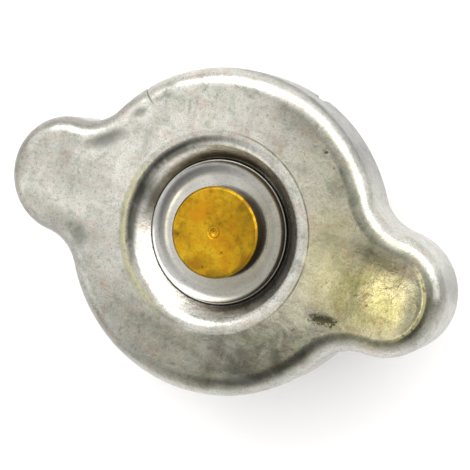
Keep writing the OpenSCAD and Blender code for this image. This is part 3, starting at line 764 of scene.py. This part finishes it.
def mat_brass(name, bright, dull, dark, rough=(0.30, 0.48), patch=0.6):
    m, nt, b = new_mat(name)
    k = Net(nt)
    rad = k.radius()
    comb = nt.nodes.new("ShaderNodeCombineXYZ")
    nt.links.new(rad, comb.inputs[0])
    nt.links.new(k.xyz()[2], comb.inputs[1])
    ring = k.noise(3600, 3, 0.6, 0.0, comb.outputs[0])
    big = k.noise(230, 4, 0.62, 0.8)
    mid = k.noise(700, 4, 0.6, 0.3)
    fine = k.noise(2600, 3, 0.6)
    col = k.ramp(big, [(0.34, dull), (0.52, bright), (0.70, tuple((p + q) / 2 for p, q in zip(bright, dull)))])
    col = k.mix(k.math("MULTIPLY", k.span(mid, 0.52, 0.70), patch), col, dull)
    col = k.mix(k.math("MULTIPLY", k.span(ring, 0.50, 0.72), 0.25), col, dull)
    spot = k.math("MULTIPLY", k.span(k.voronoi(620), 0.20, 0.05), k.span(k.noise(260, 3, 0.6), 0.55, 0.66))
    col = k.mix(k.math("MULTIPLY", spot, 0.75), col, dark)
    nt.links.new(col, b.inputs["Base Color"])
    b.inputs["Metallic"].default_value = 0.93
    nt.links.new(k.math("ADD", k.span(big, 0.3, 0.7, rough[0], rough[1], False), k.math("MULTIPLY", spot, 0.2)), b.inputs["Roughness"])
    n1 = k.bump(k.math("ADD", k.math("MULTIPLY", ring, 0.8), mid), 0.25, 0.00004)
    n2 = k.bump(fine, 0.15, 0.00002, n1)
    nt.links.new(n2, b.inputs["Normal"])
    return m


def mat_rivet():
    m, nt, b = new_mat("tarnished_turned_brass")
    k = Net(nt)
    rad, z = k.radius(), k.xyz()[2]
    comb = nt.nodes.new("ShaderNodeCombineXYZ")
    nt.links.new(rad, comb.inputs[0])
    nt.links.new(z, comb.inputs[1])
    ring = k.noise(2600, 3, 0.6, 0.0, comb.outputs[0])
    big = k.noise(190, 5, 0.64, 0.25)
    mid = k.noise(640, 5, 0.66, 0.10)
    fine = k.noise(2200, 4, 0.70)
    col = k.ramp(big, [(0.30, (0.25, 0.130, 0.006)), (0.42, (0.40, 0.218, 0.009)), (0.52, (0.50, 0.292, 0.012)), (0.62, (0.55, 0.35, 0.018)), (0.76, (0.40, 0.225, 0.009))])
    col = k.mix(0.9, col, k.ramp(mid, [(0.28, (0.50, 0.46, 0.42)), (0.45, (0.94, 0.93, 0.92)), (0.56, (1.0, 1.0, 1.0)), (0.72, (0.74, 0.69, 0.62))]), "MULTIPLY")
    col = k.mix(0.8, col, k.ramp(fine, [(0.30, (0.66, 0.64, 0.60)), (0.50, (1.0, 1.0, 1.0)), (0.72, (0.84, 0.82, 0.78))]), "MULTIPLY")
    col = k.mix(k.math("MULTIPLY", k.span(ring, 0.50, 0.68), 0.22), col, (0.24, 0.14, 0.008))
    # orange patches, and painted shade darkening the head towards one side
    px, py, _ = k.xyz()
    hue = k.noise(260, 4, 0.6, 0.1, k.scaled(1, 1, 1, loc=(0.15, 0.35, 0.05)))
    col = k.mix(k.math("MULTIPLY", k.span(hue, 0.50, 0.64), 0.65), col, (0.44, 0.185, 0.006))
    across = k.math("ADD", k.math("MULTIPLY", px, 0.906), k.math("MULTIPLY", py, 0.42))
    col = k.mix(k.span(k.math("ADD", across, k.math("MULTIPLY", k.math("SUBTRACT", mid, 0.5), 0.008)), 0.000, 0.0062), col, (0.70, 0.69, 0.66), "MULTIPLY")
    # olive tarnish towards the edge, in patches
    worn = k.noise(330, 4, 0.62, 0.8, k.scaled(1, 1, 1, loc=(0.4, 0.2, 0.1)))
    edge = k.math("MULTIPLY", k.span(rad, 0.0035, 0.0074), k.span(worn, 0.46, 0.64))
    col = k.mix(k.math("MULTIPLY", edge, 0.55), col, (0.14, 0.085, 0.010))
    spot = k.math("MULTIPLY", k.span(k.voronoi(700), 0.22, 0.06), k.span(worn, 0.52, 0.62))
    col = k.mix(k.math("MULTIPLY", spot, 0.80), col, (0.045, 0.028, 0.005))
    # painted shade below the head's edge, nearly black on the rivet's side
    col = k.mix(k.math("MULTIPLY", k.span(z, (TOP - 1.2) * MM, (TOP - 1.8) * MM), 0.9), col, (0.03, 0.018, 0.004))
    nt.links.new(col, b.inputs["Base Color"])
    b.inputs["Metallic"].default_value = 0.93
    nt.links.new(k.math("ADD", k.span(mid, 0.3, 0.7, 0.26, 0.42, False), k.math("MULTIPLY", edge, 0.12)), b.inputs["Roughness"])
    n1 = k.bump(k.math("ADD", k.math("MULTIPLY", ring, 0.8), mid), 0.35, 0.00005)
    nt.links.new(k.bump(fine, 0.25, 0.00003, n1), b.inputs["Normal"])
    return m


def mat_wire():
    m, nt, b = new_mat("drawn_spring_wire")
    k = Net(nt)
    soft = k.noise(240, 4, 0.6, 0.4)
    fine = k.noise(1800, 3, 0.6)
    col = k.ramp(soft, [(0.32, (0.30, 0.295, 0.28)), (0.52, (0.50, 0.495, 0.48)), (0.72, (0.40, 0.385, 0.35))])
    rust = k.math("MULTIPLY", k.span(k.noise(420, 4, 0.65, 0.5), 0.60, 0.72), 0.5)
    col = k.mix(rust, col, (0.23, 0.15, 0.08))
    nt.links.new(col, b.inputs["Base Color"])
    b.inputs["Metallic"].default_value = 0.95
    nt.links.new(k.math("ADD", k.span(soft, 0.3, 0.7, 0.26, 0.40, False), k.math("MULTIPLY", rust, 0.4)), b.inputs["Roughness"])
    nt.links.new(k.bump(fine, 0.22, 0.00003), b.inputs["Normal"])
    return m


def mat_rubber():
    m, nt, b = new_mat("moulded_black_rubber")
    k = Net(nt)
    soft = k.noise(160, 4, 0.6, 0.4)
    fine = k.noise(2400, 4, 0.65)
    col = k.ramp(soft, [(0.35, (0.016, 0.016, 0.017)), (0.55, (0.026, 0.026, 0.027)), (0.75, (0.045, 0.044, 0.042))])
    bloom = k.math("MULTIPLY", k.span(k.noise(75, 4, 0.6, 0.8), 0.52, 0.72), 0.35)
    col = k.mix(bloom, col, (0.10, 0.10, 0.095))
    nt.links.new(col, b.inputs["Base Color"])
    nt.links.new(k.span(soft, 0.3, 0.7, 0.52, 0.72, False), b.inputs["Roughness"])
    b.inputs["Specular IOR Level"].default_value = 0.42
    n1 = k.bump(fine, 0.30, 0.00004)
    nt.links.new(k.bump(soft, 0.15, 0.0002, n1), b.inputs["Normal"])
    return m


M_SHELL = mat_shell()
M_WASHER = mat_plated("satin_plated_steel", (0.43, 0.428, 0.408), (0.17, 0.26), True, 0.5, 0.42)
M_PLATE2 = mat_plated("plated_valve_steel", (0.52, 0.515, 0.50), (0.28, 0.42), True, 0.6)
M_DISC = mat_plated("rolled_spring_strip", (0.50, 0.485, 0.45), (0.22, 0.34), True, 0.5)
M_RIVET = mat_rivet()
M_BRASS = mat_brass("pressed_valve_brass", (0.72, 0.53, 0.20), (0.52, 0.36, 0.12), (0.14, 0.10, 0.04), (0.26, 0.42), 0.5)
M_WIRE = mat_wire()
M_RUBBER = mat_rubber()


# ---------------------------------------------------------------- pieces
def put(ob, node, body, mat):
    ob.data.materials.append(mat)
    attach(ob, body)
    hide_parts(node)
    return ob


put(build_shell(), "cap_shell", "cap", M_SHELL)

wt0, wz0 = 0.5, FLOOR_Z + 0.5
w1, w2 = 12, 58
s1, s2 = math.sin(math.radians(w1)), math.sin(math.radians(w2))
wx1 = 12.4 - wt0 * s2 - 2.0 * (s2 - s1) - 6.0 * s1
wx2 = wx1 + 4.0 * s1
wz2 = wz0 + 6.0 - 4.0 * math.cos(math.radians(w1))
dish_low = arc(wx1, wz0 + 6.0, 6.5, 270, 270 + w1, 6) + arc(wx2, wz2, 2.5, 270 + w1, 270 + w2, 18)[1:]
dish_top = arc(wx1, wz0 + 6.0, 6.0, 270, 270 + w1, 6)
for i, q in enumerate(np.radians(np.linspace(w1, w2, 19)[1:])):
    thin = 0.5 - 0.28 * ((i + 1) / 18) ** 1.5          # the rim thins towards its edge
    dish_top.append((wx2 + (2.5 - thin) * math.sin(q), wz2 - (2.5 - thin) * math.cos(q)))
rim_a, rim_b = np.array(dish_low[-1]), np.array(dish_top[-1])
rim_u = rim_b - rim_a
rim_n = np.array([-rim_u[1], rim_u[0]])
rim_c = (rim_a + rim_b) / 2 + rim_n * 0.4
rim = [tuple(rim_c + rim_u * 0.5 * math.sin(q) - rim_n * 0.4 * math.cos(q)) for q in np.radians(np.linspace(-90, 90, 9))]
put(lathe("crown_washer_disc", [(4.06, FLOOR_Z)] + dish_low[:-1] + rim + dish_top[-2::-1] + [(4.06, wz0)], 176, 0.8), "crown_washer", "cap", M_WASHER)

hz1, hz0 = TOP - 0.95, FLOOR_Z + 0.55
put(lathe("rivet_turned", rounded([
    (0.0, hz1 - 0.36, 0), (0.30, hz1 - 0.30, 0.3), (0.62, hz1 - 0.10, 0.25), (0.86, hz1 - 0.06, 0.06), (1.02, hz1 - 0.11, 0.05), (1.14, hz1, 0.06),
    (7.46, hz1, 0.25), (7.85, hz1 - 0.38, 0.20), (7.85, hz0, 0.08), (4.0, hz0, 0.05), (4.0, DISC_TOP, 0.04), (3.0, DISC_TOP, 0.04),
    (3.0, BELL_IN, 0.03), (4.7, BELL_IN, 0.08), (4.5, BELL_IN - 0.7, 0.4), (3.4, BELL_IN - 1.3, 0.6), (0.0, BELL_IN - 1.45, 0)],
    closed=False, step=8.0), 160, 0.45, axis=True), "centre_rivet", "carrier", M_RIVET)

up = 0.55
put(lathe("sprung_disc", rounded([
    (3.03, DISC_Z, 0.05), (14.8, DISC_Z, 0.9), (15.6, DISC_Z + up, 0.9), (17.0, DISC_Z + up, 0.9), (17.8, DISC_Z, 0.9), (25.6, DISC_Z, 0.1),
    (25.6, DISC_TOP, 0.1), (17.9, DISC_TOP, 0.9), (17.1, DISC_TOP + up, 0.9), (15.5, DISC_TOP + up, 0.9), (14.7, DISC_TOP, 0.9),
    (3.03, DISC_TOP, 0.05)]), 192, 1.2), "spring_diaphragm", "carrier", M_DISC)

put(lathe("neck_gasket_ring", rounded([
    (12.75, GASKET_Z, 0.2), (20.7, GASKET_Z, 0.15), (21.1, GASKET_Z + 0.12, 0.2), (23.4, GASKET_Z + 0.12, 0.2), (23.8, GASKET_Z, 0.15),
    (25.0, GASKET_Z, 0.3), (25.0, DISC_Z, 0.12), (12.75, DISC_Z, 0.12)]), 192, 1.2), "neck_gasket", "carrier", M_RUBBER)

put(lathe("spring_seat_plate", rounded([
    (3.03, SEAT_Z, 0.1), (3.03, DISC_Z, 0.1), (12.65, DISC_Z, 1.2), (12.65, SEAT_Z - 1.1, 0.2), (11.95, SEAT_Z - 1.1, 0.2), (11.95, SEAT_Z, 0.5)]),
    144, 1.2), "spring_seat", "carrier", M_PLATE2)

put(lathe("stem_bell_cup", rounded([
    (3.03, BELL_IN, 0.1), (3.03, BELL_TOP, 0.1), (8.3, BELL_TOP, 1.3), (8.3, LIP_Z, 1.3), (6.15, LIP_Z, 0.2), (6.15, LIP_Z + 0.7, 0.2),
    (7.6, LIP_Z + 0.7, 0.6), (7.6, BELL_IN, 0.6)]), 128, 1.2), "stem_bell", "carrier", M_PLATE2)

spring = coil("main_spring", 10.7, 1.9, 5.5, BOSS_Z, SEAT_Z)
put(spring, "pressure_spring", "carrier", M_WIRE)

foot_z = WEB_Z - 0.6
put(lathe("stem_tube", rounded([
    (3.4, foot_z - 0.5, 0.25), (5.4, foot_z - 0.5, 0.2), (5.4, foot_z, 0.15), (4.1, foot_z, 0.04), (4.1, STEM_Z, 0.04), (5.9, STEM_Z, 0.3),
    (5.9, STEM_TOP, 0.25), (7.05, STEM_TOP, 0.2), (7.05, STEM_TOP + 0.7, 0.25), (5.2, STEM_TOP + 0.7, 0.4), (5.2, STEM_Z + 0.7, 0.25),
    (3.4, STEM_Z + 0.7, 0.2)]), 112, 1.0), "valve_stem", "pressure_valve", M_BRASS)

put(lathe("seal_plate", rounded([
    (4.15, BOSS_Z, 0.1), (8.6, BOSS_Z, 0.3), (8.85, PLATE_Z, 0.3), (15.6, PLATE_Z, 1.2), (15.6, PLATE_Z + 2.2, 0.25), (14.8, PLATE_Z + 2.2, 0.25),
    (14.8, PLATE_Z + 0.8, 0.4), (9.4, PLATE_Z + 0.8, 0.3), (9.15, STEM_Z, 0.4), (4.15, STEM_Z, 0.1)]), 160, 1.2),
    "valve_plate", "pressure_valve", M_BRASS)

put(lathe("pressure_seal_ring", rounded([
    (9.4, 0.0, 0.3), (13.4, 0.0, 0.2), (13.8, 0.16, 0.25), (15.2, 0.16, 0.25), (15.6, 0.0, 0.2), (16.8, 0.0, 0.5), (16.8, PLATE_Z, 0.5),
    (8.75, PLATE_Z, 0.1), (8.5, BOSS_Z, 0.1), (4.15, BOSS_Z, 0.1), (4.15, WEB_Z, 0.15), (9.4, WEB_Z, 0.35)]), 176, 1.0),
    "pressure_seal", "pressure_valve", M_RUBBER)

put(lathe("seal_clamp_washer", rounded([
    (4.15, foot_z, 0.08), (6.6, foot_z, 0.2), (6.6, WEB_Z, 0.1), (4.15, WEB_Z, 0.08)]), 112, 0.8), "seal_washer", "pressure_valve", M_BRASS)

vt = WEB_Z - 0.05
put(lathe("vacuum_disc", rounded([
    (0.0, 0.62, 0), (0.5, 0.62, 0.1), (0.8, 0.4, 0.1), (8.2, 0.4, 0.4), (8.2, vt, 0.25), (7.2, vt, 0.2), (6.9, 1.0, 0.3), (2.0, 1.0, 0.3), (1.6, 1.4, 0.3),
    (1.6, CUP_Z, 0.05), (1.25, CUP_Z, 0.03), (1.25, CUP_Z + 0.6, 0.03), (1.7, CUP_Z + 0.6, 0.1), (1.4, CUP_Z + 1.0, 0.3), (0.0, CUP_Z + 1.1, 0)],
    closed=False), 112, 0.8, axis=True), "vacuum_valve", "vacuum_valve", M_BRASS)

vspring = coil("small_vacuum_spring", 4.25, 0.55, 4.0, STEM_Z + 0.7, CUP_Z, 44, 12)
put(vspring, "vacuum_spring", "pressure_valve", M_WIRE)

put(lathe("vacuum_spring_holder", rounded([
    (1.27, CUP_Z, 0.05), (4.6, CUP_Z, 0.1), (4.7, CUP_Z - 0.9, 0.08), (4.95, CUP_Z - 0.9, 0.08), (4.95, CUP_Z + 0.6, 0.3), (1.27, CUP_Z + 0.6, 0.05)]),
    96, 0.8), "vacuum_spring_cup", "vacuum_valve", M_BRASS)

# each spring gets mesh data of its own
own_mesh(spring)
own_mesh(vspring)


# ---------------------------------------------------------------- floor, light, camera
def floor_mat():
    m, nt, b = new_mat("pale_paper_floor")
    k = Net(nt)
    f = k.noise(30, 5, 0.6)
    nt.links.new(k.ramp(f, [(0.3, (0.955, 0.955, 0.955)), (0.7, (0.975, 0.975, 0.975))]), b.inputs["Base Color"])
    b.inputs["Roughness"].default_value = 0.85
    b.inputs["Specular IOR Level"].default_value = 0.2
    return m


me = bpy.data.meshes.new("floor")
L = 3.0
me.from_pydata([(-L, -L, 0), (L, -L, 0), (L, L, 0), (-L, L, 0)], [], [(0, 1, 2, 3)])
floor = bpy.data.objects.new("floor", me)
floor.data.materials.append(floor_mat())
bpy.context.scene.collection.objects.link(floor)

RIGHT = Vector((0.88191, 0.29638, -0.36659))
UP = Vector((-0.33260, 0.94229, -0.03832))
BACK = Vector((0.33408, 0.15573, 0.92959))

cam = bpy.data.cameras.new("camera")
cam.lens = 109.6
cam.sensor_width = 36.0
cam.sensor_fit = "HORIZONTAL"
cam.clip_start, cam.clip_end = 0.01, 20.0
cam_ob = bpy.data.objects.new("camera", cam)
pos = Vector((0.08403, 0.03830, 0.2223 + TOP * MM))
rot = Matrix((RIGHT, UP, BACK)).transposed()
cam_ob.matrix_world = Matrix.Translation(pos) @ rot.to_4x4()
bpy.context.scene.collection.objects.link(cam_ob)
bpy.context.scene.camera = cam_ob


def area(name, direction, dist, size, power, color=(1, 1, 1), target=(0, 0, 0.02), size_y=None):
    d = bpy.data.lights.new(name, "AREA")
    d.shape = "RECTANGLE" if size_y else "SQUARE"
    d.size = size
    if size_y:
        d.size_y = size_y
    d.energy = power
    d.color = color
    o = bpy.data.objects.new(name, d)
    n = Vector(direction).normalized()
    o.location = Vector(target) + n * dist
    o.rotation_mode = "QUATERNION"
    o.rotation_quaternion = (-n).to_track_quat("-Z", "Y")
    bpy.context.scene.collection.objects.link(o)
    return o


area("warm_lamp", (-0.205, -0.155, 0.965), 0.70, 0.085, 0.115, (1.0, 0.92, 0.72))

# the studio round the cap: soft grey walls, a long bright screen on one side, a dim opening opposite
world = bpy.data.worlds.new("studio")
bpy.context.scene.world = world
world.use_nodes = True
wt = world.node_tree
for nd in list(wt.nodes):
    wt.nodes.remove(nd)
wo = wt.nodes.new("ShaderNodeOutputWorld")
bg = wt.nodes.new("ShaderNodeBackground")
tc = wt.nodes.new("ShaderNodeTexCoord")


def w_dot(direction):
    n = wt.nodes.new("ShaderNodeVectorMath")
    n.operation = "DOT_PRODUCT"
    n.inputs[1].default_value = direction
    wt.links.new(tc.outputs["Generated"], n.inputs[0])
    return n.outputs["Value"]


def w_span(v, a, b, c, d):
    n = wt.nodes.new("ShaderNodeMapRange")
    n.interpolation_type = "SMOOTHSTEP"
    for key, val in (("From Min", a), ("From Max", b), ("To Min", c), ("To Max", d)):
        n.inputs[key].default_value = val
    wt.links.new(v, n.inputs["Value"])
    return n.outputs["Result"]


def w_math(op, a, b):
    n = wt.nodes.new("ShaderNodeMath")
    n.operation = op
    for sock, v in zip(n.inputs, (a, b)):
        if hasattr(v, "is_output"):
            wt.links.new(v, sock)
        else:
            sock.default_value = v
    return n.outputs[0]


grey = w_span(w_dot(Vector((0.156, -0.393, 0.908)).normalized()), 0.755, 0.985, 1.04, 0.20)
away = w_dot(Vector((0.291, 0.207, 0.934)))
wall = w_math("MULTIPLY", w_span(away, 0.90, 0.78, 0.0, 1.0), w_span(away, 0.28, 0.46, 0.0, 1.0))
wall = w_math("MULTIPLY", wall, w_span(w_dot(Vector((0.10, 1.0, 0.0))), 0.18, 0.42, 0.0, 3.0))
glow = w_span(w_dot(Vector((-0.75, -0.10, 0.65)).normalized()), 0.79, 0.96, 0.0, 0.50)
wt.links.new(w_math("MULTIPLY", w_math("ADD", w_math("ADD", grey, wall), glow), 1.08), bg.inputs["Strength"])
bg.inputs["Color"].default_value = (1.0, 0.995, 0.985, 1)
wt.links.new(bg.outputs["Background"], wo.inputs["Surface"])

vs = bpy.context.scene.view_settings
vs.view_transform = "Standard"
vs.look = "None"
vs.exposure = 0.0
vs.gamma = 1.0
